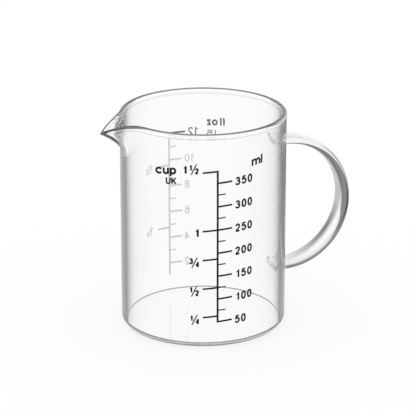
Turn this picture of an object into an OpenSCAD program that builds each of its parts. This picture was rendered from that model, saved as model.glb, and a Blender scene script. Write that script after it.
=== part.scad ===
// Glass measuring jug: a blown tumbler with a drawn pouring lip, a strap handle fused to
// its wall, and graduated scales fired on to the front and the rear in black enamel.
// The origin is the middle of the base, +Z is up, the handle points along +X, the pouring
// lip along -X, and the front scale faces -Y.

/* [Tumbler] */
// Outside diameter of the tumbler
body_d = 79.5; // [70:0.5:100]
// Height from the base to the top of the rim
body_h = 106; // [90:0.5:140]
// Thickness of the wall
wall = 2.5; // [1.6:0.1:3.5]
// Thickness of the floor
floor_t = 2.2; // [1.5:0.1:4]
// Radius of the rounded outside edge at the base
heel_r = 4; // [2:0.25:7]
// Radius of the rounded inside corner at the floor
inner_heel_r = 3; // [1:0.25:6]
// How far the fire-polished rim swells past each face of the wall
rim_swell = 0.2; // [0.1:0.05:0.5]

/* [Pouring lip] */
// How far the lip is drawn out past the wall
lip_reach = 11.6; // [6:0.1:14]
// How far the tip of the lip hangs below the rim
lip_dip = 4.9; // [0:0.1:7]
// Height over which the lip fades into the wall below its edge
lip_fade = 10.5; // [9:0.5:18]
// Angle from the middle of the lip to where it leaves the round rim
lip_half_angle = 28.5; // [22:0.5:40]

/* [Handle] */
// Height of the lower root of the handle above the base
handle_foot_z = 23.1; // [18:0.1:30]
// Distance from the rim down to the upper root of the handle
handle_head_drop = 18.7; // [14:0.1:26]
// Width of the strap, across the handle
strap_w = 13.6; // [8:0.1:18]
// Thickness of the strap in the middle of its width
strap_t = 4.4; // [3:0.1:7]
// Straight length of the strap between the wall and the start of the bow
root_length = 1.5; // [1:0.1:5]
// How far the fused roots spread past each face of the strap
root_flare = 0.9; // [0.4:0.1:1.5]

/* [Scales] */
// Thickness of the fired enamel
enamel_t = 0.15; // [0.1:0.05:0.3]
// Width of the upright line of each scale
spine_w = 0.95; // [0.4:0.05:1.5]
// Width of a long mark
mark_w = 0.8; // [0.3:0.05:1.2]
// Width of a short mark
short_mark_w = 0.6; // [0.3:0.05:1]
// Length of a long mark, from the middle of its upright line
mark_length = 7; // [4:0.1:9]
// Length of a short mark, from the middle of its upright line
short_mark_length = 3.8; // [2:0.1:5]
// Length of the highest fluid ounce mark, from the middle of its upright line
top_mark_length = 9.1; // [6:0.1:11]
// Angle of the front upright line from the middle of the front, towards the handle
front_spine_angle = -11.4; // [-25:0.1:25]
// Angle of the rear upright line from the middle of the rear, towards the handle
rear_spine_angle = -5; // [-25:0.1:25]
// Clear height kept between the highest mark and the rim
scale_headroom = 10; // [5:0.5:20]
// Length of bare upright line below the lowest rear mark
rear_spine_tail = 6.5; // [2:0.5:9]

/* [Hidden] */
$fn = 96;

glass_colour = [0.86, 0.9, 0.91, 0.45];
enamel_colour = [0.06, 0.06, 0.065];

body_r = body_d / 2;
cavity_r = body_r - wall;
rim_r = wall / 2 + rim_swell;
rim_mid_r = body_r - wall / 2;
rim_mid_z = body_h - rim_r;
// Overrun of every cut, and how far the drawn lip stands proud where it is fused to the tumbler
overrun = 1;
seam = 0.05;

// Volumes of the units in millilitres, and the edge of a cube that holds one millilitre
cup = 250;
fluid_ounce = 29.5735;
pint = 568.26;
millilitre_edge = 10;

// Points on an arc from angle a0 to a1, ends included
function arc(centre, r, a0, a1, steps) =
    [for (i = [0 : steps]) let (a = a0 + (a1 - a0) * i / steps) centre + r * [cos(a), sin(a)]];

// Tumbler

// Section of a round vessel of radius r and height h, with a rounded bottom edge
module vessel_section(r, h, edge_r) {
    translate([0, edge_r]) square([r, h - edge_r]);
    square([r - edge_r, edge_r]);
    intersection() {
        translate([r - edge_r, edge_r]) circle(edge_r);
        square([r, edge_r]);
    }
}

// The wall stops at the middle of the rim, which the rounded bead then tops
module tumbler() {
    rotate_extrude() {
        difference() {
            vessel_section(body_r, rim_mid_z, heel_r);
            translate([0, floor_t]) vessel_section(cavity_r, body_h, inner_heel_r);
        }
        translate([rim_mid_r, rim_mid_z]) circle(rim_r);
    }
}

// Pouring lip

// Roundness of the tip, as a share of the lip's half angle
tip_round_share = 0.047;
// How quickly the lip narrows and rises beside its tip, and fades below it
narrowing = 2.65;
rising = 3.85;
fading = 1.7;
lip_bottom_z = body_h - lip_dip - lip_fade - rim_r;
// The lip reaches this far into the tumbler's own wall, where the two are fused
lip_overlap = 0.4;
lip_overlap_angle = lip_overlap / body_r * 180 / PI;

// 1 in the middle of the lip, 0 at its sides
function inward(angle) =
    max(0, 1 - norm([angle / lip_half_angle, tip_round_share])) / (1 - tip_round_share);
function edge_z(angle) = rim_mid_z - lip_dip * pow(inward(angle), rising);
// How far the wall is pushed out at an angle and a height
function push(angle, z) =
    lip_reach * pow(inward(angle), narrowing)
    * pow(max(0, 1 - max(0, edge_z(angle) - z) / lip_fade), fading);

lip_columns = 44;
lip_rows = 16;
bead_steps = 9;

// Section of the lip's wall at an angle: up the outside, over the bead and down the inside
function lip_section(angle) =
    let (top = edge_z(angle),
         low = lip_bottom_z - lip_overlap,
         heights = [for (i = [0 : lip_rows - 1]) low + (top - low) * i / lip_rows],
         bead = [rim_mid_r + push(angle, top), top])
    concat(
        [for (z = heights) [body_r + seam + push(angle, z), z]],
        arc(bead, rim_r + seam, 0, 180, bead_steps),
        [for (i = [lip_rows - 1 : -1 : 0]) [cavity_r - seam + push(angle, heights[i]), heights[i]]]);

// Columns crowd towards the tip, where the lip turns most
lip_crowding = 1.6;
lip_angles = [for (i = [0 : lip_columns])
    let (s = 2 * i / lip_columns - 1)
    sign(s) * pow(abs(s), lip_crowding) * (lip_half_angle + lip_overlap_angle)];

// Skin over sections that each turn about the axis by their own angle from -X
module turned_loft(angles, sections) {
    count = len(sections[0]);
    points = [for (i = [0 : len(angles) - 1], p = sections[i])
        [-p[0] * cos(angles[i]), -p[0] * sin(angles[i]), p[1]]];
    skin = [for (i = [0 : len(angles) - 2], j = [0 : count - 1])
        let (a = i * count + j, b = i * count + (j + 1) % count)
        each [[a, b, a + count], [b, b + count, a + count]]];
    // Each end is closed by strips between the two faces of the wall
    far = (len(angles) - 1) * count;
    ends = [for (j = [0 : count / 2 - 2])
        let (k = count - 1 - j)
        each [[k, k - 1, j + 1, j], [far + j, far + j + 1, far + k - 1, far + k]]];
    polyhedron(points, concat(skin, ends));
}

module pouring_lip() {
    turned_loft(lip_angles, [for (a = lip_angles) lip_section(a)]);
}

// Opening in the round wall that the lip fills
module lip_window() {
    far = body_r + lip_reach;
    side = far * tan(lip_half_angle);
    translate([0, 0, lip_bottom_z])
        linear_extrude(body_h - lip_bottom_z + overrun)
            polygon([[0, 0], [-far, side], [-far, -side]]);
}

module glass_body() {
    color(glass_colour) {
        difference() {
            tumbler();
            lip_window();
        }
        pouring_lip();
    }
}

// Handle

strap_points = 32;
// Squareness of the strap's oval section: 2 is an ellipse
strap_power = 2;
head_z = body_h - handle_head_drop;
bow_r = (head_z - handle_foot_z) / 2;
bow_z = (head_z + handle_foot_z) / 2;
bow_x = body_r + root_length;
// The roots reach into the wall before they are cut to its curve
root_depth = body_r - sqrt(pow(body_r, 2) - pow(strap_w / 2 + root_flare, 2)) + overrun;
root_overlap = 0.4;
slice_t = 0.1;

function rounded_power(v) = sign(v) * pow(abs(v), 2 / strap_power);

module strap_section(grow) {
    polygon([for (i = [0 : strap_points - 1])
        let (a = 360 * i / strap_points)
        [(strap_t / 2 + grow) * rounded_power(cos(a)), (strap_w / 2 + grow) * rounded_power(sin(a))]]);
}

// Thin slice of the strap that faces the wall at height z, reaching inwards from x
module strap_slice(x, z, grow) {
    translate([x, 0, z]) rotate([0, -90, 0]) linear_extrude(slice_t) strap_section(grow);
}

module handle_bow() {
    translate([bow_x, 0, bow_z])
        rotate([90, 0, 0])
            rotate([0, 0, -90])
                rotate_extrude(angle = 180)
                    translate([bow_r, 0]) strap_section(0);
}

module handle_root(z) {
    hull() {
        strap_slice(bow_x + root_overlap, z, seam);
        strap_slice(body_r - root_depth + slice_t, z, root_flare);
    }
}

module handle() {
    color(glass_colour)
        difference() {
            union() {
                handle_bow();
                handle_root(head_z);
                handle_root(handle_foot_z);
            }
            cylinder(h = body_h + overrun, r = body_r);
        }
}

// Scales

cavity_area = PI * pow(cavity_r, 2);
// Volume taken from the cavity by the rounded corner at the floor
corner_share = 1 - PI / 4;
corner_centre_share = (10 - 3 * PI) / (12 - 3 * PI);
corner_centre_r = cavity_r - corner_centre_share * inner_heel_r;
corner_volume = 2 * PI * corner_centre_r * corner_share * pow(inner_heel_r, 2);
// Height of the liquid's surface above the base for a volume in millilitres
function level(volume) = floor_t + (volume * pow(millilitre_edge, 3) + corner_volume) / cavity_area;

// The volumes that the front and rear scales mark, as far up as the wall has room
top_level = body_h - scale_headroom;
function fits(volumes) = [for (v = volumes) if (level(v) <= top_level) v];
ml_low = 50;
ml_step = 25;
ml_high = 350;
cup_shares = [1 / 4, 1 / 2, 3 / 4, 1, 3 / 2];
ounce_low = 2;
ounce_high = 12;
pint_shares = [1 / 4, 1 / 2];
ml_volumes = fits([for (v = [ml_low : ml_step : ml_high]) v]);
cup_volumes = fits(cup_shares * cup);
ounce_volumes = fits([for (i = [ounce_low : ounce_high]) i * fluid_ounce]);
pint_volumes = fits(pint_shares * pint);

// Angle about +Z of the middle of each upright line
front_line_angle = -90 + front_spine_angle;
rear_line_angle = 90 - rear_spine_angle;
front_low = level(ml_volumes[0]) - mark_w / 2;
front_high = level(max(concat(ml_volumes, cup_volumes))) + mark_w / 2;
rear_low = level(ounce_volumes[0]) - rear_spine_tail;
rear_high = level(max(ounce_volumes)) + mark_w / 2;

// Every second mark of the millilitre and fluid ounce scales is a long one
function is_long(i) = i % 2 == 0;

// Enamel in the shape of a flat pattern laid on the wall at an angle about +Z.
// Seen from outside, the pattern's X runs to the right and its Y is the height above the base.
module on_wall(angle) {
    color(enamel_colour)
        intersection() {
            difference() {
                cylinder(h = body_h, r = body_r + enamel_t);
                translate([0, 0, -overrun]) cylinder(h = body_h + 2 * overrun, r = body_r);
            }
            rotate([90, 0, angle + 90]) linear_extrude(body_r + 2 * enamel_t) children();
        }
}

// Flat pattern of an upright line between two heights
module line_pattern(low, high) {
    translate([-spine_w / 2, low]) square([spine_w, high - low]);
}

// Flat pattern of one mark, which starts at x and runs to the right
module mark_pattern(x, volume, length, width) {
    translate([x, level(volume) - width / 2]) square([length, width]);
}

// Flat pattern of long and short marks by turns, beside the line at the right (1) or the left (-1)
module graduation_pattern(volumes, side) {
    for (i = [0 : len(volumes) - 1]) {
        length = is_long(i) ? mark_length : short_mark_length;
        mark_pattern(side > 0 ? 0 : -length, volumes[i], length, is_long(i) ? mark_w : short_mark_w);
    }
}

module millilitre_scale() {
    on_wall(front_line_angle) {
        line_pattern(front_low, front_high);
        graduation_pattern(ml_volumes, 1);
    }
}

module cup_scale() {
    on_wall(front_line_angle)
        for (v = cup_volumes)
            mark_pattern(-mark_length, v, mark_length - spine_w / 2, mark_w);
}

module fluid_ounce_scale() {
    on_wall(rear_line_angle) {
        line_pattern(rear_low, rear_high);
        graduation_pattern(ounce_volumes, -1);
        mark_pattern(-top_mark_length, max(ounce_volumes), top_mark_length, mark_w);
    }
}

module pint_scale() {
    on_wall(rear_line_angle)
        for (v = pint_volumes)
            mark_pattern(spine_w / 2, v, mark_length - spine_w / 2, mark_w);
}

glass_body();
handle();
millilitre_scale();
cup_scale();
fluid_ounce_scale();
pint_scale();
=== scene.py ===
from math import atan2, ceil, cos, hypot, pi, radians, sin, sqrt

import bpy
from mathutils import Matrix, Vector
from mathutils.geometry import delaunay_2d_cdt


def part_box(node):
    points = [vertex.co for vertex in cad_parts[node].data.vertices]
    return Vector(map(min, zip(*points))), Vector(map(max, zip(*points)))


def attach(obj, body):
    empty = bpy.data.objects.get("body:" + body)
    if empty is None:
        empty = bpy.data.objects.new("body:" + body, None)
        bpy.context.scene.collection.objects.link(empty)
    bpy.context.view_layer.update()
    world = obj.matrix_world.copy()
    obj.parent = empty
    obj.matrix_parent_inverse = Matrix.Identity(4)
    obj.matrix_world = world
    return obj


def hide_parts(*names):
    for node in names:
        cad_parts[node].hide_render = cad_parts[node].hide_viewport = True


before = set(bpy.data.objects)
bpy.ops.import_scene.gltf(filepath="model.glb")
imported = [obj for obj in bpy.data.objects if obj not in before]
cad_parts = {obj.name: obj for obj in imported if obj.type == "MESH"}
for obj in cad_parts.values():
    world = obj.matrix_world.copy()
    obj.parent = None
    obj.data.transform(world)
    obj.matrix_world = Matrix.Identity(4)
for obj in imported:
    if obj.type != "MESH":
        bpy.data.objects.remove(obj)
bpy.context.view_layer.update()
print("frame loaded:", ", ".join(sorted(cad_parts)))

mm = 0.001
millilitre = 1e-6   # cubic metres
glassBounces = 100  # light has to pass many glass faces before it is lost
scene = bpy.context.scene
scene.view_settings.view_transform = "Standard"
scene.cycles.max_bounces = glassBounces
scene.cycles.glossy_bounces = glassBounces
scene.cycles.transmission_bounces = glassBounces


def hexLinear(code):
    # sRGB to linear light
    channels = [int(code[i:i + 2], 16) / 255 for i in (1, 3, 5)]
    linear = [c / 12.92 if c <= 0.04045 else ((c + 0.055) / 1.055) ** 2.4 for c in channels]
    return (*linear, 1.0)


def addNode(tree, kind, settings={}, values={}, links={}):
    node = tree.nodes.new(kind)
    for name, value in settings.items():
        setattr(node, name, value)
    for socket, value in values.items():
        node.inputs[socket].default_value = value
    for socket, source in links.items():
        tree.links.new(source, node.inputs[socket])
    return node


def newMaterial(name):
    material = bpy.data.materials.new(name)
    material.use_nodes = True
    return material, material.node_tree, material.node_tree.nodes["Principled BSDF"]


def newPiece(name, points, faces, materials, kinds=(), smooth=True):
    # kinds says which of the materials each face has, the first where it says nothing
    mesh = bpy.data.meshes.new(name)
    mesh.from_pydata(points, [], faces)
    mesh.validate()
    for material in materials:
        mesh.materials.append(material)
    mesh.polygons.foreach_set("use_smooth", [smooth] * len(mesh.polygons))
    for polygon, kind in zip(mesh.polygons, kinds):
        polygon.material_index = kind
    piece = bpy.data.objects.new(name, mesh)
    scene.collection.objects.link(piece)
    return piece


def rounded(part, squareness):
    # a sine or cosine as a superellipse has it, a squareness of 2 makes an ellipse
    return abs(part) ** (2 / squareness) * (1 if part >= 0 else -1)


def arcPoints(x, y, rx, ry, start, end, steps):
    turns = [radians(start + (end - start) * i / steps) for i in range(steps + 1)]
    return [(x + rx * cos(turn), y + ry * sin(turn)) for turn in turns]


# the look of the glass
glassLook = {
    "tint": "#FEFEFE",             # low-iron melt, no green to be seen in walls this thin
    "paintedEdgeShade": "#707174",       # walls seen edge on, painted dark as shade; the long way through the glass darkens them only a little
    "paintedEdgeShadeRange": (0.54, 1.0),    # how far a face turns away while its painted shade grows, 1 is edge on
    "clearWay": (0.0, 0.0, 1.0),   # faces that look this way or back keep clear of the painted shade
    "clearBack": -1.0,             # how far the faces that look back do
    "rimPaintedShade": "#484A4C",          # painted shade on the rim's crown, which bends light away from the eye
    "rimPaintedEdgeShade": "#2C2D2E",
    "creasePaintedShade": "#C4C5C7",       # painted shade: faint dark lines at the foot of the rim and in the inside corner
    "heelPaintedShade": "#7E7F82",         # painted shade on the heel's underside, dark against the white below it
    "strapEdgePaintedShade": "#8E8F92",    # painted shade on the strap's outer edges, which bend light away from the eye
    # the strap's painted edge shade, as on the walls
    "strapPaintedEdgeShade": "#2C2D2F",
    "strapPaintedEdgeShadeRange": (0.34, 0.55),
    "strapClearWay": (0.6, 0.0, 0.8),
    "strapClearBack": -0.5,
    "ior": 1.47,
    "strapIor": 1.39,              # lower, so that the dark band in the strap stays narrow
    "roughness": 0.0,
    "shine": "#A8A8A8",            # a white studio leaves little for the faces to mirror
    "rippleSize": 14 * mm,         # slow waves that hand-worked walls keep
    "rippleDepth": 0.004 * mm,
    "rippleDetail": 1.0,
}


def borosilicateGlass(name, tint, paintedEdgeShade=None, drawn=False):
    # lamp-worked borosilicate: clear, fire-polished, with painted shade where it turns away from the eye,
    # with slow ripples that bend its streaks a little
    material, tree, shader = newMaterial(name)
    shader.inputs["Base Color"].default_value = hexLinear(tint)
    shader.inputs["Transmission Weight"].default_value = 1.0
    shader.inputs["Specular Tint"].default_value = hexLinear(glassLook["shine"])
    shader.inputs["IOR"].default_value = glassLook["strapIor" if drawn else "ior"]
    shader.inputs["Roughness"].default_value = glassLook["roughness"]
    # painted shade: the colour darkens towards faces seen edge on, except those that look along the clear
    # way
    if paintedEdgeShade:
        start, end = glassLook["strapPaintedEdgeShadeRange" if drawn else "paintedEdgeShadeRange"]
        weight = addNode(tree, "ShaderNodeLayerWeight", values={"Blend": 0.5})
        turned = addNode(tree, "ShaderNodeMapRange", settings={"interpolation_type": "SMOOTHSTEP"},
                         values={"From Min": start, "From Max": end},
                         links={"Value": weight.outputs["Facing"]})
        face = addNode(tree, "ShaderNodeNewGeometry")
        along = addNode(tree, "ShaderNodeVectorMath", settings={"operation": "DOT_PRODUCT"},
                        values={1: glassLook["strapClearWay" if drawn else "clearWay"]},
                        links={0: face.outputs["Normal"]})
        ahead = addNode(tree, "ShaderNodeMath", settings={"operation": "MAXIMUM"},
                        values={1: glassLook["strapClearBack" if drawn else "clearBack"]},
                        links={0: along.outputs["Value"]})
        square = addNode(tree, "ShaderNodeMath", settings={"operation": "MULTIPLY"},
                         links={0: ahead.outputs[0], 1: ahead.outputs[0]})
        across = addNode(tree, "ShaderNodeMath", settings={"operation": "SUBTRACT", "use_clamp": True},
                         values={0: 1.0}, links={1: square.outputs[0]})
        share = addNode(tree, "ShaderNodeMath", settings={"operation": "MULTIPLY"},
                        links={0: turned.outputs["Result"], 1: across.outputs[0]})
        # a Mix node's colours are its sockets 6 and 7, and 2 of its outputs
        colour = addNode(tree, "ShaderNodeMix", settings={"data_type": "RGBA"},
                         values={6: hexLinear(tint), 7: hexLinear(paintedEdgeShade)},
                         links={0: share.outputs[0]})
        tree.links.new(colour.outputs[2], shader.inputs["Base Color"])
    place = addNode(tree, "ShaderNodeTexCoord")
    ripple = addNode(tree, "ShaderNodeTexNoise",
                     values={"Scale": 1 / glassLook["rippleSize"], "Detail": glassLook["rippleDetail"]},
                     links={"Vector": place.outputs["Object"]})
    bump = addNode(tree, "ShaderNodeBump",
                   values={"Strength": 1.0, "Distance": glassLook["rippleDepth"]},
                   links={"Height": ripple.outputs["Fac"]})
    tree.links.new(bump.outputs["Normal"], shader.inputs["Normal"])
    return material


# the look of the printed marks
enamelLook = {
    "black": "#0E0E10",
    "blackWorn": "#1B1B1E",
    "underside": "#B8B9BC",            # painted light: the black print's underside painted pale grey, as it shows through both walls
    "undersideWorn": "#C1C2C5",
    "upperUnderside": "#5E6063",       # painted light and shade: the same underside painted darker where the rear print stands above the near rim, seen through one wall
    "upperUndersideWorn": "#6A6C6F",
    "undersidePaintedGlow": 0.42,                  # painted light: a glow on the underside, standing in for light from behind the thin film
    # painted light: a weaker glow on the upper underside
    "upperUndersidePaintedGlow": 0.1,
    "ior": 1.5,
    "roughness": (0.3, 0.44),          # dense and thin places of the print
    "gloss": 0.15,                     # fired ink shines less than the glass it lies on
    "grain": 0.35 * mm,                # mesh of the printing screen, drawn coarser so that it shows
    "grainDetail": 2.0,
}


def firedEnamel(name, dark, light, paintedGlow=0.0):
    # ceramic ink screened on to the glass and fired: dense, half glossy, faintly uneven
    material, tree, shader = newMaterial(name)
    smoothest, roughest = enamelLook["roughness"]
    shader.inputs["IOR"].default_value = enamelLook["ior"]
    shader.inputs["Specular IOR Level"].default_value = enamelLook["gloss"]
    # painted light: the glow makes the print's underside shine as though lit from behind
    shader.inputs["Emission Color"].default_value = (1, 1, 1, 1)
    shader.inputs["Emission Strength"].default_value = paintedGlow
    place = addNode(tree, "ShaderNodeTexCoord")
    grain = addNode(tree, "ShaderNodeTexNoise",
                    values={"Scale": 1 / enamelLook["grain"], "Detail": enamelLook["grainDetail"]},
                    links={"Vector": place.outputs["Object"]})
    shade = addNode(tree, "ShaderNodeMix", settings={"data_type": "RGBA"},
                    values={6: hexLinear(dark), 7: hexLinear(light)},
                    links={0: grain.outputs["Fac"]})
    gloss = addNode(tree, "ShaderNodeMapRange",
                    values={"To Min": smoothest, "To Max": roughest},
                    links={"Value": grain.outputs["Fac"]})
    tree.links.new(shade.outputs[2], shader.inputs["Base Color"])
    tree.links.new(gloss.outputs["Result"], shader.inputs["Roughness"])
    return material


glass = borosilicateGlass("Borosilicate glass", glassLook["tint"], glassLook["paintedEdgeShade"])
rimShadeGlass = borosilicateGlass("Fire-polished rim, painted shade", glassLook["rimPaintedShade"], glassLook["rimPaintedEdgeShade"])
creaseShadeGlass = borosilicateGlass("Crease lines, painted shade", glassLook["creasePaintedShade"], glassLook["paintedEdgeShade"])
heelShadeGlass = borosilicateGlass("Rounded heel, painted shade", glassLook["heelPaintedShade"], glassLook["paintedEdgeShade"])
strapGlass = borosilicateGlass("Drawn glass strap", glassLook["tint"],
                               glassLook["strapPaintedEdgeShade"], drawn=True)
strapEdgeShadeGlass = borosilicateGlass("Edge of the drawn strap, painted shade", glassLook["strapEdgePaintedShade"],
                                   glassLook["strapPaintedEdgeShade"], drawn=True)
# the same glass without the painted edge shade, for the lip's inside and the strap's roots
workedGlass = borosilicateGlass("Flame-worked glass", glassLook["tint"])
enamel = firedEnamel("Fired black enamel", enamelLook["black"], enamelLook["blackWorn"])
enamelUndersidePaintedLight = firedEnamel("Enamel underside, painted light", enamelLook["underside"],
                              enamelLook["undersideWorn"], enamelLook["undersidePaintedGlow"])
enamelUpperUndersidePaintedLight = firedEnamel("Enamel upper underside, painted light and shade", enamelLook["upperUnderside"],
                                   enamelLook["upperUndersideWorn"], enamelLook["upperUndersidePaintedGlow"])
print("materials made")

# the tumbler and its lip
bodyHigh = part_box("glass_body")[1]
tumbler = {
    "rimSwell": 0.2 * mm,           # how far the fire-polished bead stands out of each face
    "rimSquareness": 2.0,           # of the rim's rounded top, 2 is a half circle
    "swellRun": 0.9 * mm,           # height over which the wall swells into the bead
    "footHeight": 0.12 * mm,        # half the height of the painted shade line at the foot of the bead
    "beadSteps": 24,
    "crown": (6, 18),               # the steps of the bead that make its crown, which is painted with shade
    "lipCrown": (6, 4),             # steps that the crown's two ends lie further out at the lip
    "lipCrownShare": 0.5,           # of the lip's own share, where they have got there
    "wall": 2.5 * mm,
    "floor": 2.2 * mm,
    "heel": 4.0 * mm,
    "innerHeel": 1.2 * mm,
    "heelSteps": 14,
    "heelShade": (6, 9),            # the steps of the heel painted with shade
    "cornerSteps": 12,
    "cornerShade": (6, 7),          # the steps of the inner corner painted with its shade line
    "columnStep": 1.5,              # degrees
    "lipColumnStep": 0.5,
    "baseRings": (0.3, 0.6, 0.8),   # of the radius, in the base and the floor
    "wallRings": (0.25, 0.5, 0.75),  # of the height between the heel and the lip's lower end
    "wallRows": 34,
    "rowSpread": 1.5,               # rows lie closer towards the rim, 1 would space them evenly
}
bodyR = bodyHigh.y - tumbler["rimSwell"]
bodyTop = bodyHigh.z
cavityR = bodyR - tumbler["wall"]
rimR = tumbler["wall"] / 2 + tumbler["rimSwell"]
rimMidR = (bodyR + cavityR) / 2
rimMidZ = bodyTop - rimR
lip = {
    "reach": 11.6 * mm,
    "dip": 4.9 * mm,
    "fade": 13.0 * mm,              # how far down the wall the lip runs out
    "halfAngle": 28.5,              # degrees each side of the lip's middle
    "tipRound": 0.047,
    "narrowing": 2.65,              # how quickly it narrows and rises beside its tip, and fades below it
    "rising": 3.85,
    "fading": 2.1,
    "middle": 180.0,                # polar angle of the lip's middle
    "keel": 2.2,                    # degrees each side of the middle that the painted shade line under the lip takes
    "keelPush": 4.0 * mm,           # it narrows where the lip stands out less than this
    "clearPush": 0.1 * mm,          # the lip's inside is clear where it stands out more than this
}
plainFace, paintedShadeFace, creaseShadeFace, heelShadeFace, lipFace = range(5)
tumblerGlass = [glass, rimShadeGlass, creaseShadeGlass, heelShadeGlass, workedGlass]


def lipShare(angle):
    # 1 at the lip's tip, 0 where the lip runs back into the rim
    return max(0.0, 1 - hypot(angle / lip["halfAngle"], lip["tipRound"])) / (1 - lip["tipRound"])


def edgeHeight(angle):
    return rimMidZ - lip["dip"] * lipShare(angle) ** lip["rising"]


def lipPush(angle, height):
    below = max(0.0, edgeHeight(angle) - height) / lip["fade"]
    return lip["reach"] * lipShare(angle) ** lip["narrowing"] * max(0.0, 1 - below) ** lip["fading"]


def tumblerProfile(angle):
    # (radius, height) from the middle of the base, out, up, over the rim, down and in to the floor's
    # middle, each with the kind of the face that follows it
    edge = edgeHeight(angle)
    heel, innerHeel, floor = tumbler["heel"], tumbler["innerHeel"], tumbler["floor"]
    cornerTop = floor + innerHeel
    lowest = rimMidZ - lip["dip"] - lip["fade"]
    rows = tumbler["wallRows"]

    def wallPoint(side, height):
        swell = tumbler["rimSwell"] * max(0.0, 1 - (edge - height) / tumbler["swellRun"])
        return rimMidR + lipPush(angle, height) + side * (tumbler["wall"] / 2 + swell), height

    climb = [1 - (1 - i / rows) ** tumbler["rowSpread"] for i in range(rows)]
    upward = [lowest + (edge - lowest) * share for share in climb]
    outside = [(bodyR * share, 0.0) for share in tumbler["baseRings"]]
    heelStart = len(outside)
    outside += arcPoints(bodyR - heel, heel, heel, heel, -90, 0, tumbler["heelSteps"])
    outside += [(bodyR, heel + (lowest - heel) * share) for share in tumbler["wallRings"]]
    wallStart = len(outside)
    outside += [wallPoint(1, height) for height in upward]
    bead = []
    for i in range(tumbler["beadSteps"] + 1):
        turn = pi * i / tumbler["beadSteps"]
        out, up = [rimR * rounded(part, tumbler["rimSquareness"]) for part in (cos(turn), sin(turn))]
        bead.append((rimMidR + lipPush(angle, edge) + out, edge + up))
    inside = [wallPoint(-1, height) for height in reversed(upward)]
    inside += [(cavityR, cornerTop + (lowest - cornerTop) * share)
               for share in reversed(tumbler["wallRings"])]
    cornerStart = len(inside)
    inside += arcPoints(cavityR - innerHeel, cornerTop, innerHeel, innerHeel, 0, -90, tumbler["cornerSteps"])
    inside += [(cavityR * share, floor) for share in reversed(tumbler["baseRings"])]

    # the kinds of the faces, a later one lies over an earlier one
    outKinds = [plainFace] * len(outside)
    inKinds = [plainFace] * len(inside)
    for i, height in enumerate(upward):
        push = lipPush(angle, height)
        if push > lip["clearPush"]:
            inKinds[rows - 1 - i] = lipFace
        # painted shade: a thin line at the foot of the bead, inside and out
        if abs(edge - height - tumbler["swellRun"]) < tumbler["footHeight"]:
            inKinds[rows - 1 - i] = creaseShadeFace
            outKinds[wallStart + i] = creaseShadeFace
        # painted shade: a dark line down the wall under the lip's middle
        if abs(angle) < lip["keel"] * min(1.0, push / lip["keelPush"]):
            outKinds[wallStart + i] = paintedShadeFace
    # painted shade on the heel's underside
    for i in range(*tumbler["heelShade"]):
        outKinds[heelStart + i] = heelShadeFace
    # painted shade line in the inner corner
    for i in range(*tumbler["cornerShade"]):
        inKinds[cornerStart + i] = creaseShadeFace
    # the crown's painted shade reaches further round the bead at the lip
    atLip = min(1.0, lipShare(angle) / tumbler["lipCrownShare"])
    first, last = [step - round(more * atLip) for step, more in zip(tumbler["crown"], tumbler["lipCrown"])]
    beadKinds = [paintedShadeFace if first <= i < last else plainFace for i in range(len(bead))]
    return list(zip(outside + bead + inside, outKinds + beadKinds + inKinds))


def buildTumbler():
    half = lip["halfAngle"]
    lipColumns = int(2 * half / tumbler["lipColumnStep"])
    plainColumns = int((360 - 2 * half) / tumbler["columnStep"])
    angles = [-half + 2 * half * i / lipColumns for i in range(lipColumns)]
    angles += [half + (360 - 2 * half) * i / plainColumns for i in range(plainColumns)]
    columns, kinds = [], []
    for angle in angles:
        turn = radians(lip["middle"] + angle)
        profile = tumblerProfile(angle if angle <= 180 else angle - 360)
        columns.append([(r * cos(turn), r * sin(turn), z) for (r, z), kind in profile])
        kinds += [kind for point, kind in profile[:-1]]
    count, rows = len(columns), len(columns[0])
    points = [point for column in columns for point in column]
    base, floorMiddle = len(points), len(points) + 1
    points += [(0, 0, 0), (0, 0, tumbler["floor"])]
    faces, fans = [], []
    for c in range(count):
        here, there = c * rows, (c + 1) % count * rows
        faces += [(here + i, there + i, there + i + 1, here + i + 1) for i in range(rows - 1)]
        fans += [(base, there, here), (floorMiddle, here + rows - 1, there + rows - 1)]
    return newPiece("glass_tumbler", points, faces + fans, tumblerGlass, kinds)


glassTumbler = buildTumbler()
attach(glassTumbler, "root")
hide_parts("glass_body")
print("tumbler made:", len(glassTumbler.data.polygons), "faces")

# the strap handle
strap = {
    "thickness": 4.4 * mm,
    "width": 13.6 * mm,
    "squareness": 2.0,              # of the section, 2 is an ellipse
    "rootLength": 1.5 * mm,         # straight run between the wall and the bow
    "rootShares": (0.0, 0.04, 0.1, 0.2, 0.32, 0.46, 0.62, 0.8),  # places along that run
    "flare": 0.9 * mm,              # how far the weld spreads on the wall
    "sunk": 0.05 * mm,              # how deep the ends melt into the wall
    "bowSteps": 96,
    "sectionPoints": 64,
    "footHeight": 23.1 * mm,
    "headHeight": 87.3 * mm,
    "edges": (60.0, 112.0),         # degrees round the section that the painted shade of the outer edges takes, about 90
    "edgeFade": (-30.0, 20.0),      # degrees up the bow over which they narrow to nothing
}
strapFace, strapEdgeShadeFace, rootFace = range(3)
handleGlass = [strapGlass, strapEdgeShadeGlass, workedGlass]


def strapSection(grow):
    # (out, across) round the strap, which is larger by grow where its roots flare
    halfT = strap["thickness"] / 2 + grow
    halfW = strap["width"] / 2 + grow
    turns = [2 * pi * i / strap["sectionPoints"] for i in range(strap["sectionPoints"])]
    return [(halfT * rounded(cos(turn), strap["squareness"]),
             halfW * rounded(sin(turn), strap["squareness"])) for turn in turns]


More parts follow.
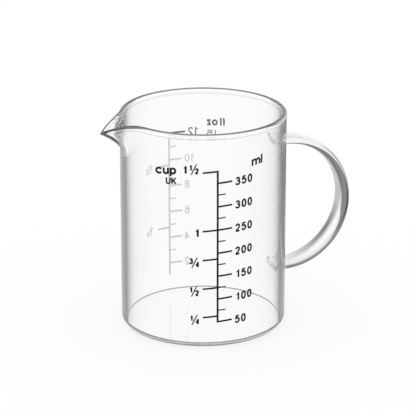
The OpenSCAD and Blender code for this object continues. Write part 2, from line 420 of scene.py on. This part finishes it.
def buildHandle():
    bowR = (strap["headHeight"] - strap["footHeight"]) / 2
    bowZ = (strap["headHeight"] + strap["footHeight"]) / 2
    bowX = bodyR + strap["rootLength"]

    def rootRing(side, share, depth=0.0):
        # share runs from 0 on the wall to 1 at the bow; depth goes into the wall
        grow = strap["flare"] * (1 - sqrt(1 - (1 - share) ** 2))
        ring = []
        for out, across in strapSection(grow):
            wallX = sqrt((bodyR - depth) ** 2 - across ** 2)
            ring.append((wallX + (bowX - wallX) * share, across, bowZ + side * (bowR + out)))
        return ring

    rings = [rootRing(1, 0.0, strap["sunk"])]
    rings += [rootRing(1, share) for share in strap["rootShares"]]
    bowStart = len(rings)
    section = strapSection(0.0)
    for step in range(strap["bowSteps"] + 1):
        turn = pi / 2 - pi * step / strap["bowSteps"]
        rings.append([(bowX + (bowR + out) * cos(turn), across, bowZ + (bowR + out) * sin(turn))
                      for out, across in section])
    rings += [rootRing(-1, share) for share in reversed(strap["rootShares"])]
    rings.append(rootRing(-1, 0.0, strap["sunk"]))
    points = [point for ring in rings for point in ring]

    count = strap["sectionPoints"]
    low, high = strap["edgeFade"]
    faces, kinds = [], []
    for r in range(len(rings) - 1):
        turn = 90 - 180 * (r - bowStart) / strap["bowSteps"]
        wide = min(1.0, max(0.0, (high - turn) / (high - low)))
        start, end = [90 + (degrees - 90) * wide for degrees in strap["edges"]]
        for i in range(count):
            j = (i + 1) % count
            faces.append((r * count + i, (r + 1) * count + i, (r + 1) * count + j, r * count + j))
            place = 360 * (i + 0.5) / count
            edged = start < min(place, 360 - place) < end
            # painted shade on the outer edges, narrowing up the bow
            kinds.append(rootFace if abs(turn) > 90 else strapEdgeShadeFace if edged else strapFace)
    # the ends are closed by strips across the strap, which follow the wall
    middle, last = count // 2, (len(rings) - 1) * count
    strips = [(0, 1, count - 1)]
    strips += [(i - 1, i, count - i, count - i + 1) for i in range(2, middle)]
    strips.append((middle - 1, middle, middle + 1))
    faces += strips
    faces += [(last + first, *[last + i for i in reversed(others)]) for first, *others in strips]
    kinds += [rootFace] * (2 * len(strips))
    return newPiece("glass_handle", points, faces, handleGlass, kinds)


glassHandle = buildHandle()
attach(glassHandle, "root")
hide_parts("handle")
print("handle made:", len(glassHandle.data.polygons), "faces")

# lettering, drawn as strokes in a box one capital high
lettering = {
    "gap": 0.14,                # between figures, of a capital's height
    "letterGap": 0.06,          # between letters
    "wordGap": 0.22,
    "figure": 0.63,             # every figure takes this width, a one stands to the right in it
    "oneShift": 0.06,
    "flag": 0.55,               # a one's flag has this share of its stem's width
    "fraction": 1.17,           # fractions are this much taller than figures
    "small": 0.63,              # a fraction's figures, of the fraction's height
    "thin": 0.82,               # their strokes, of a whole figure's
    "lowerShift": 0.6,          # where the lower figure starts, of the fraction's height
    "slash": ((0.26, -0.02), (0.78, 1.02)),
    "slashThin": 0.7,           # of their strokes
    "bendStep": 12,             # degrees
    "leastSteps": 6,            # in one bend
    "loopSteps": 32,
    "fineStep": 0.4 * mm,       # longest straight piece, so that print hugs the wall
}


def bend(x, y, rx, ry, start, end):
    steps = max(lettering["leastSteps"], ceil(abs(end - start) / lettering["bendStep"]))
    return arcPoints(x, y, rx, ry, start, end, steps)


def loop(x, y, rx, ry, squareness=2.2):
    turns = [2 * pi * i / lettering["loopSteps"] for i in range(lettering["loopSteps"])]
    points = [(x + rx * rounded(cos(turn), squareness), y + ry * rounded(sin(turn), squareness))
              for turn in turns]
    return points + points[:1]


# each sign: width and height of its box, in capital heights, and its strokes in that box
signs = {
    "0": (0.63, 1.0, [loop(0.5, 0.5, 0.5, 0.5, 2.3)]),
    "1": (0.48, 1.0, [[(1, 1.08), (1, -0.08)],
                      [(0.0, 0.77), (0.35, 0.79), (0.64, 0.84), (0.84, 0.92), (1.0, 1.06)]]),
    "2": (0.63, 1.0, [bend(0.49, 0.71, 0.47, 0.29, 172, -28)
                      + [(0.76, 0.46), (0.5, 0.31), (0.22, 0.17), (0.05, 0.02)],
                      [(-0.08, 0), (1.04, 0)]]),
    "3": (0.63, 1.0, [bend(0.47, 0.755, 0.42, 0.245, 165, -90),
                      [(0.32, 0.52), (0.56, 0.52)],
                      bend(0.47, 0.275, 0.53, 0.275, 90, -165)]),
    "4": (0.65, 1.0, [[(0.74, 1.0), (0.02, 0.27)],
                      [(-0.08, 0.25), (1.06, 0.25)],
                      [(0.74, 1.08), (0.74, -0.08)]]),
    "5": (0.63, 1.0, [[(0.14, 1), (0.98, 1)],
                      [(0.22, 1.04), (0.08, 0.46)],
                      bend(0.46, 0.335, 0.54, 0.335, 143, -162)]),
    "6": (0.63, 1.0, [loop(0.5, 0.325, 0.5, 0.325),
                      [(0, 0.34)] + bend(0.53, 0.47, 0.53, 0.53, 176, 36)]),
    "8": (0.63, 1.0, [loop(0.5, 0.765, 0.43, 0.235), loop(0.5, 0.275, 0.5, 0.275)]),
    "c": (0.8, 0.74, [bend(0.57, 0.5, 0.57, 0.5, 38, 322)]),
    "u": (0.69, 0.74, [[(0, 1.12), (0, 0.42)] + bend(0.46, 0.4, 0.46, 0.4, 180, 330),
                       [(1, 1.12), (1, -0.12)]]),
    "p": (0.71, 0.74, [[(0, 1.12), (0, -0.58)], loop(0.5, 0.5, 0.5, 0.5)]),
    "m": (1.12, 0.74, [[(0, 1.12), (0, -0.12)],
                       [(0, 0.6)] + bend(0.25, 0.64, 0.25, 0.36, 180, 0) + [(0.5, -0.12)],
                       [(0.5, 0.6)] + bend(0.75, 0.64, 0.25, 0.36, 180, 0) + [(1, -0.12)]]),
    "l": (0.0, 1.0, [[(0, 1.08), (0, -0.08)]]),
    "f": (0.4, 1.0, [[(0.4, -0.08), (0.4, 0.74)] + bend(0.95, 0.76, 0.55, 0.24, 180, 92),
                     [(-0.2, 0.68), (1.1, 0.68)]]),
    "o": (0.72, 0.74, [loop(0.5, 0.5, 0.5, 0.5, 2.0)]),
    "z": (0.58, 0.74, [[(-0.12, 1), (1.1, 1)], [(1, 1), (0, 0)], [(-0.1, 0), (1.12, 0)]]),
    "U": (0.74, 1.0, [[(0, 1.08), (0, 0.4)] + bend(0.5, 0.37, 0.5, 0.37, 180, 360)
                      + [(1, 0.4), (1, 1.08)]]),
    "K": (0.76, 1.0, [[(0, 1.08), (0, -0.08)],
                      [(0.98, 1.06), (0.02, 0.34)],
                      [(0.36, 0.6), (1.02, -0.06)]]),
    "S": (0.68, 1.0, [bend(0.5, 0.745, 0.46, 0.255, 20, 255) + bend(0.5, 0.262, 0.5, 0.262, 75, -165)]),
}


def roundOrder(corners):
    # corners in turn about their middle, so that a tight bend never crosses itself
    midX, midY = sum(x for x, y in corners) / 4, sum(y for x, y in corners) / 4
    return sorted(corners, key=lambda corner: atan2(corner[1] - midY, corner[0] - midX))


def strokeQuads(path, width):
    # one four-cornered piece for each step of a stroke, corners shared with the next
    closed = path[0] == path[-1]
    fine = [path[0]]
    for (ax, ay), (bx, by) in zip(path, path[1:]):
        parts = max(1, ceil(hypot(bx - ax, by - ay) / lettering["fineStep"]))
        fine += [(ax + (bx - ax) * i / parts, ay + (by - ay) * i / parts) for i in range(1, parts + 1)]
    sides = []
    for i, (x, y) in enumerate(fine):
        before = fine[i - 1] if i else (fine[-2] if closed else None)
        after = fine[i + 1] if i + 1 < len(fine) else (fine[1] if closed else None)
        normals = []
        for a, b in ((before, (x, y)), ((x, y), after)):
            if a and b:
                run = hypot(b[0] - a[0], b[1] - a[1])
                normals.append((-(b[1] - a[1]) / run, (b[0] - a[0]) / run))
        nx, ny = sum(n[0] for n in normals), sum(n[1] for n in normals)
        reach = width / 2 * len(normals) / (nx * nx + ny * ny)
        sides.append(((x + nx * reach, y + ny * reach), (x - nx * reach, y - ny * reach)))
    return [roundOrder([*a, *b]) for a, b in zip(sides, sides[1:])]


def signQuads(sign, left, foot, height, weight):
    # weight is the stroke's width; the sign's ink starts at left
    boxW, boxH, strokes = signs[sign]
    runX, runY = boxW * height - (weight if boxW else 0), boxH * height - weight
    end = left + max(boxW * height, weight)
    if sign == "1":
        end = left + lettering["figure"] * height
        left += lettering["oneShift"] * height
    quads = []
    for i, stroke in enumerate(strokes):
        path = [(left + weight / 2 + x * runX, foot + weight / 2 + y * runY) for x, y in stroke]
        quads += strokeQuads(path, weight * (lettering["flag"] if sign == "1" and i else 1))
    return quads, end


def textQuads(text, left, foot, height, weight):
    # the text's pieces and its right end
    quads, pen, gap = [], left, 0.0
    for sign in text:
        if sign == " ":
            pen += lettering["wordGap"] * height
            continue
        more, pen = signQuads(sign, pen, foot, height, weight)
        quads += more
        gap = lettering["gap" if sign.isdigit() else "letterGap"] * height
        pen += gap
    return quads, pen - gap


def fractionQuads(fraction, left, foot, height, weight):
    upper, lower = fraction.split("/")
    tall = lettering["fraction"] * height
    foot -= (lettering["fraction"] - 1) * height / 2
    small, thin = lettering["small"] * tall, lettering["thin"] * weight
    quads, _ = textQuads(upper, left, foot + tall - small, small, thin)
    slash = [(left + x * tall, foot + y * tall) for x, y in lettering["slash"]]
    quads += strokeQuads(slash, lettering["slashThin"] * thin)
    more, _ = textQuads(lower, left + lettering["lowerShift"] * tall, foot, small, thin)
    return quads + more


def placed(quads, left=None, right=None):
    # moves print sideways until its left or its right end is at the given place
    xs = [x for quad in quads for x, y in quad]
    shift = left - min(xs) if right is None else right - max(xs)
    return [[(x + shift, y) for x, y in quad] for quad in quads]


def unitWord(word, top):
    quads, _ = textQuads(word["text"], 0, top + word["lift"], word["height"], word["weight"])
    return placed(quads, word.get("left"), word.get("right"))


def bar(left, right, low, high):
    parts = max(1, ceil((right - left) / lettering["fineStep"]))
    xs = [left + (right - left) * i / parts for i in range(parts + 1)]
    return [[(a, low), (b, low), (b, high), (a, high)] for a, b in zip(xs, xs[1:])]


# where a volume in millilitres stands on the wall, with the rounded inside corner taken off
cavityArea = pi * cavityR ** 2
cornerShare = (10 - 3 * pi) / (12 - 3 * pi)   # middle of the corner's section, of its radius
cornerArea = (1 - pi / 4) * tumbler["innerHeel"] ** 2
cornerVolume = 2 * pi * (cavityR - cornerShare * tumbler["innerHeel"]) * cornerArea


def level(volume):
    return tumbler["floor"] + (volume * millilitre + cornerVolume) / cavityArea


def mark(left, right, volume, thick):
    return bar(left, right, level(volume) - thick / 2, level(volume) + thick / 2)


printing = {
    "proud": 0.06 * mm,         # ink stands this far out of the wall
    "fused": 0.02 * mm,         # and is fused this far into it
    "joined": 1e-4,             # corners nearer than this, in millimetres, become one
}


def wrapPrint(name, quads, lineAngle, underside, slope=0.0):
    # joins flat print into one outline, gives it thickness and wraps it round the wall
    corners, faces = [], []
    for quad in quads:
        area = sum(a[0] * b[1] - b[0] * a[1] for a, b in zip(quad, quad[1:] + quad[:1]))
        faces.append(list(range(len(corners), len(corners) + len(quad))))
        corners += [Vector((x / mm, y / mm)) for x, y in (quad if area > 0 else reversed(quad))]
    # its mode 0 keeps every triangle and says which strokes own it
    flat, _, triangles, _, _, owners = delaunay_2d_cdt(corners, [], faces, 0, printing["joined"])
    triangles = [t for t, owner in zip(triangles, owners) if owner]
    used = sorted({i for t in triangles for i in t})
    order = {old: new for new, old in enumerate(used)}
    triangles = [[order[i] for i in t] for t in triangles]
    points = []
    for radius in (bodyR + printing["proud"], bodyR - printing["fused"]):
        for old in used:
            turn = radians(lineAngle) + flat[old].x * mm / bodyR
            height = (flat[old].y + slope * flat[old].x) * mm
            points.append((radius * cos(turn), radius * sin(turn), height))
    count = len(used)
    edges = dict.fromkeys(edge for t in triangles for edge in zip(t, t[1:] + t[:1]))
    outer = [tuple(t) for t in triangles]
    inner = [tuple(count + i for i in reversed(t)) for t in triangles]
    sides = [(b, a, count + a, count + b) for a, b in edges if (b, a) not in edges]
    kinds = [0] * len(outer) + [1] * len(inner)
    piece = newPiece(name, points, outer + inner + sides, [enamel, underside], kinds, smooth=False)
    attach(piece, "root")
    return piece


frontScale = {
    "angle": -101.4,            # polar angle of the upright line
    "slope": 0.08,              # the print climbs a little to the right, about its upright line
    "line": 0.95 * mm,
    "mark": 0.86 * mm,
    "shortMark": 0.6 * mm,
    "length": 7.0 * mm,         # from the middle of the upright line
    "shortLength": 3.8 * mm,
    "millilitres": range(50, 351, 25),
    "numberEvery": 50,          # millilitres, the marks between are short
    "cups": (("", "1/4", 62.5), ("", "1/2", 125), ("", "3/4", 187.5), ("1", "", 250), ("1", "1/2", 375)),
    "top": 375,                 # millilitres at the upper end of the upright line
    "digits": 4.15 * mm,
    "weight": 0.88 * mm,
    "boldWeight": 1.0 * mm,
    "gap": 1.5 * mm,            # between a mark and its number
    "cupGap": 1.8 * mm,
    "wholeGap": 0.1,            # between a whole number and its fraction, of a figure's height
    "lift": -0.5 * mm,          # how far the numbers' middles stand above their marks
    "fractionLift": -0.9 * mm,
    "topCupLift": 2.0 * mm,     # the top cup number stands on its mark instead
    # the words' feet stand this far above the top mark
    "millilitreWords": (
        {"text": "ml", "lift": -1.0 * mm, "height": 4.7 * mm, "weight": 1.0 * mm, "left": 17.1 * mm},
    ),
    "cupWords": (
        {"text": "cup", "lift": -0.4 * mm, "height": 4.7 * mm, "weight": 1.05 * mm, "right": -19.4 * mm},
        {"text": "UK", "lift": -5.2 * mm, "height": 3.5 * mm, "weight": 0.78 * mm, "right": -19.3 * mm},
    ),
}


def buildFrontPrint():
    front = frontScale
    half, length, digits = front["line"] / 2, front["length"], front["digits"]
    top = level(front["top"])
    lowest = level(front["millilitres"][0]) - front["mark"] / 2
    marks = bar(-half, half, lowest, top + front["mark"] / 2)
    cupMarks, numbers, cupNumbers = [], [], []
    for volume in front["millilitres"]:
        if volume % front["numberEvery"]:
            marks += mark(0, front["shortLength"], volume, front["shortMark"])
            continue
        marks += mark(0, length, volume, front["mark"])
        foot = level(volume) + front["lift"] - digits / 2
        text, _ = textQuads(str(volume), length + front["gap"], foot, digits, front["weight"])
        numbers += text
    for whole, fraction, volume in front["cups"]:
        cupMarks += mark(-length, -half, volume, front["mark"])
        lift = front["topCupLift" if whole and fraction else "fractionLift" if fraction else "lift"]
        foot = level(volume) + lift - digits / 2
        text, pen = textQuads(whole, 0, foot, digits, front["boldWeight"])
        if fraction:
            start = pen + (front["wholeGap"] * digits if whole else 0)
            text += fractionQuads(fraction, start, foot, digits, front["boldWeight"])
        cupNumbers += placed(text, right=-length - front["cupGap"])
    for word in front["millilitreWords"]:
        numbers += unitWord(word, top)
    for word in front["cupWords"]:
        cupNumbers += unitWord(word, top)
    millilitreMarks = wrapPrint("millilitre_marks", marks, front["angle"], enamelUndersidePaintedLight, front["slope"])
    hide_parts("millilitre_scale")
    cupMarks = wrapPrint("cup_marks", cupMarks, front["angle"], enamelUndersidePaintedLight, front["slope"])
    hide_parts("cup_scale")
    wrapPrint("millilitre_numbers", numbers, front["angle"], enamelUndersidePaintedLight, front["slope"])
    wrapPrint("cup_numbers", cupNumbers, front["angle"], enamelUndersidePaintedLight, front["slope"])


# what it doesn't say is as on the front scale
rearScale = {
    "angle": 95.0,
    "ounce": 29.5735,           # millilitres
    "pint": 568.26,
    "ounces": range(2, 13),     # even ones have a number
    "pints": {"1/4": 0.25, "1/2": 0.5},
    "tail": 6.5 * mm,           # the upright line runs on below its last mark
    "topLength": 9.1 * mm,
    "weight": 0.62 * mm,
    "pintGap": 3.6 * mm,        # between a pint mark and its number
    "words": (
        {"text": "fl oz", "lift": 2.9 * mm, "height": 4.2 * mm, "weight": 0.85 * mm, "right": -20.0 * mm},
        {"text": "US", "lift": -2.5 * mm, "height": 3.1 * mm, "weight": 0.5 * mm, "right": -20.0 * mm},
    ),
}


def buildRearPrint():
    front, rear = frontScale, rearScale
    half, length, digits = front["line"] / 2, front["length"], front["digits"]
    top = level(rear["ounces"][-1] * rear["ounce"])
    lowest = level(rear["ounces"][0] * rear["ounce"]) - rear["tail"]
    marks = bar(-half, half, lowest, top + front["mark"] / 2)
    topMarks, pintMarks, numbers, topNumbers, pintNumbers = [], [], [], [], []
    for ounces in rear["ounces"]:
        volume = ounces * rear["ounce"]
        if ounces % 2:
            marks += mark(-front["shortLength"], 0, volume, front["shortMark"])
            continue
        text, _ = textQuads(str(ounces), 0, level(volume) - digits / 2, digits, rear["weight"])
        if ounces == rear["ounces"][-1]:
            topMarks += mark(-rear["topLength"], -half, volume, front["mark"])
            topNumbers += placed(text, right=-rear["topLength"] - front["gap"])
        else:
            marks += mark(-length, 0, volume, front["mark"])
            numbers += placed(text, right=-length - front["gap"])
    for name, pints in rear["pints"].items():
        volume = pints * rear["pint"]
        pintMarks += mark(half, length, volume, front["mark"])
        text = fractionQuads(name, 0, level(volume) - digits / 2, digits, rear["weight"])
        pintNumbers += placed(text, left=length + rear["pintGap"])
    for word in rear["words"]:
        topNumbers += unitWord(word, top)
    ounceMarks = wrapPrint("fluid_ounce_marks", marks, rear["angle"], enamelUndersidePaintedLight)
    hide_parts("fluid_ounce_scale")
    # the top mark and the heading take the underside painted darker
    wrapPrint("fluid_ounce_top_mark", topMarks, rear["angle"], enamelUpperUndersidePaintedLight)
    pintMarks = wrapPrint("pint_marks", pintMarks, rear["angle"], enamelUndersidePaintedLight)
    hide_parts("pint_scale")
    wrapPrint("fluid_ounce_numbers", numbers, rear["angle"], enamelUndersidePaintedLight)
    wrapPrint("fluid_ounce_heading", topNumbers, rear["angle"], enamelUpperUndersidePaintedLight)
    wrapPrint("pint_numbers", pintNumbers, rear["angle"], enamelUndersidePaintedLight)


buildFrontPrint()
buildRearPrint()
print("print made")

# floor, light and camera
studio = {
    "floorSize": 12.0,          # metres from the middle to each side
    "floorGap": 0.05 * mm,
    "floorWhite": "#FFFFFF",
    # what a ray meets that a wall turned within itself, after 0, 1, 2 ... reflections:
    # glass edges go grey by it
    "floorTurned": (1.0, 0.24, 0.28, 0.4, 1.0),
    "skyTurned": (1.0, 0.92, 0.93, 0.95, 1.0),
    # how much of that grey counts after 0, 1, 2 ... faces
    "wallsPassed": (0.25, 0.25, 1.0, 1.0, 0.85, 0.85, 0.05),
    # how far the floor goes over from its own list to the sky's, by the distance in metres
    "floorLift": ((0.3, 0.0), (0.75, 1.0)),
    "flag": (0.02, 0.2),        # metres to the right where a dark card comes up, for outer faces to mirror
    "shadow": 0.2,              # how much of the shadow the white sheet keeps
    "ceiling": (0.3, 0.75),     # sines of the heights between which the sky goes over to a bright ceiling
}


def stepped(tree, depth, steps):
    # looks a whole number up in a list, the last entry stands for all above
    share = addNode(tree, "ShaderNodeMath", settings={"operation": "DIVIDE"},
                    values={1: len(steps)}, links={0: depth})
    ramp = addNode(tree, "ShaderNodeValToRGB", links={0: share.outputs[0]})
    ramp.color_ramp.interpolation = "CONSTANT"
    for i, grey in enumerate(steps):
        place = max(0.0, (i - 0.5) / len(steps))
        stop = ramp.color_ramp.elements[i] if i < 2 else ramp.color_ramp.elements.new(place)
        stop.position = place
        stop.color = (grey, grey, grey, 1)
    return ramp.outputs[0]


def reflectedLevel(tree, lift=None, flag=None):
    # white for what is seen straight or through the glass, grey for what a wall turns aside within itself
    path = addNode(tree, "ShaderNodeLightPath")
    turned = stepped(tree, path.outputs["Glossy Depth"], studio["skyTurned"])
    if lift:
        low = stepped(tree, path.outputs["Glossy Depth"], studio["floorTurned"])
        turned = addNode(tree, "ShaderNodeMix", settings={"data_type": "RGBA"},
                         links={0: lift, 6: low, 7: turned}).outputs[2]
    counts = stepped(tree, path.outputs["Transmission Depth"], studio["wallsPassed"])
    if flag:
        # a ray that no face has let in yet
        outside = addNode(tree, "ShaderNodeMath", settings={"operation": "LESS_THAN"},
                          values={1: 0.5}, links={0: path.outputs["Transmission Depth"]})
        card = addNode(tree, "ShaderNodeMath", settings={"operation": "MULTIPLY"},
                       links={0: outside.outputs[0], 1: flag})
        counts = addNode(tree, "ShaderNodeMath", settings={"operation": "MAXIMUM"},
                         links={0: counts, 1: card.outputs[0]}).outputs[0]
    grey = addNode(tree, "ShaderNodeMix", settings={"data_type": "RGBA"},
                   values={6: (1, 1, 1, 1)}, links={0: counts, 7: turned})
    return path, grey.outputs[2]


def buildFloor():
    # a matt white sheet: it takes soft shadow and shows no gloss
    material, tree, shader = newMaterial("Matt white paper")
    tree.nodes.remove(shader)
    paper = addNode(tree, "ShaderNodeBsdfDiffuse", values={"Color": hexLinear(studio["floorWhite"])})
    face = addNode(tree, "ShaderNodeNewGeometry")
    distance = addNode(tree, "ShaderNodeVectorMath", settings={"operation": "LENGTH"},
                       links={0: face.outputs["Position"]})
    lift = addNode(tree, "ShaderNodeValToRGB", links={0: distance.outputs["Value"]})
    for stop, (place, grey) in zip(lift.color_ramp.elements, studio["floorLift"]):
        stop.position = place
        stop.color = (grey, grey, grey, 1)
    parts = addNode(tree, "ShaderNodeSeparateXYZ", links={0: face.outputs["Position"]})
    flag = addNode(tree, "ShaderNodeMapRange", settings={"interpolation_type": "SMOOTHSTEP"},
                   values={"From Min": studio["flag"][0], "From Max": studio["flag"][1]},
                   links={"Value": parts.outputs["X"]})
    path, grey = reflectedLevel(tree, lift.outputs[0], flag.outputs["Result"])
    card = addNode(tree, "ShaderNodeEmission", links={"Color": grey})
    lit = addNode(tree, "ShaderNodeMath", settings={"operation": "MULTIPLY_ADD"},
                  values={1: -studio["shadow"], 2: 1.0}, links={0: path.outputs["Is Camera Ray"]})
    direct = addNode(tree, "ShaderNodeMath", settings={"operation": "MULTIPLY_ADD"},
                     values={1: -1.0}, links={0: path.outputs["Is Diffuse Ray"], 2: lit.outputs[0]})
    mix = addNode(tree, "ShaderNodeMixShader",
                  links={0: direct.outputs[0], 1: paper.outputs[0], 2: card.outputs[0]})
    tree.links.new(mix.outputs[0], tree.nodes["Material Output"].inputs["Surface"])
    size = studio["floorSize"]
    points = [(x * size, y * size, -studio["floorGap"]) for x, y in ((-1, -1), (1, -1), (1, 1), (-1, 1))]
    floor = newPiece("floor", points, [(0, 1, 2, 3)], [material], smooth=False)


def buildSky():
    world = bpy.data.worlds.new("Studio")
    world.use_nodes = True
    scene.world = world
    tree = world.node_tree
    path, grey = reflectedLevel(tree)
    place = addNode(tree, "ShaderNodeTexCoord")
    parts = addNode(tree, "ShaderNodeSeparateXYZ", links={0: place.outputs["Generated"]})
    ceiling = addNode(tree, "ShaderNodeMapRange", settings={"interpolation_type": "SMOOTHSTEP"},
                      values={"From Min": studio["ceiling"][0], "From Max": studio["ceiling"][1]},
                      links={"Value": parts.outputs["Z"]})
    light = addNode(tree, "ShaderNodeMath", settings={"operation": "MAXIMUM"},
                    links={0: grey, 1: ceiling.outputs["Result"]})
    tree.links.new(light.outputs[0], tree.nodes["Background"].inputs["Strength"])
    tree.nodes["Background"].inputs["Color"].default_value = (1, 1, 1, 1)


view = {
    "place": (-0.3759, -0.9691, 0.4198),
    "tilt": 70.75,              # degrees from straight down
    "turn": -21.33,
    "lens": 197.8,              # millimetres, as the sensor
    "sensor": 36.0,
}


def buildCamera():
    data = bpy.data.cameras.new("Camera")
    data.lens = view["lens"]
    data.sensor_width = view["sensor"]
    camera = bpy.data.objects.new("Camera", data)
    camera.location = view["place"]
    camera.rotation_euler = (radians(view["tilt"]), 0, radians(view["turn"]))
    scene.collection.objects.link(camera)
    scene.camera = camera


buildFloor()
buildSky()
buildCamera()
print("studio and camera made")
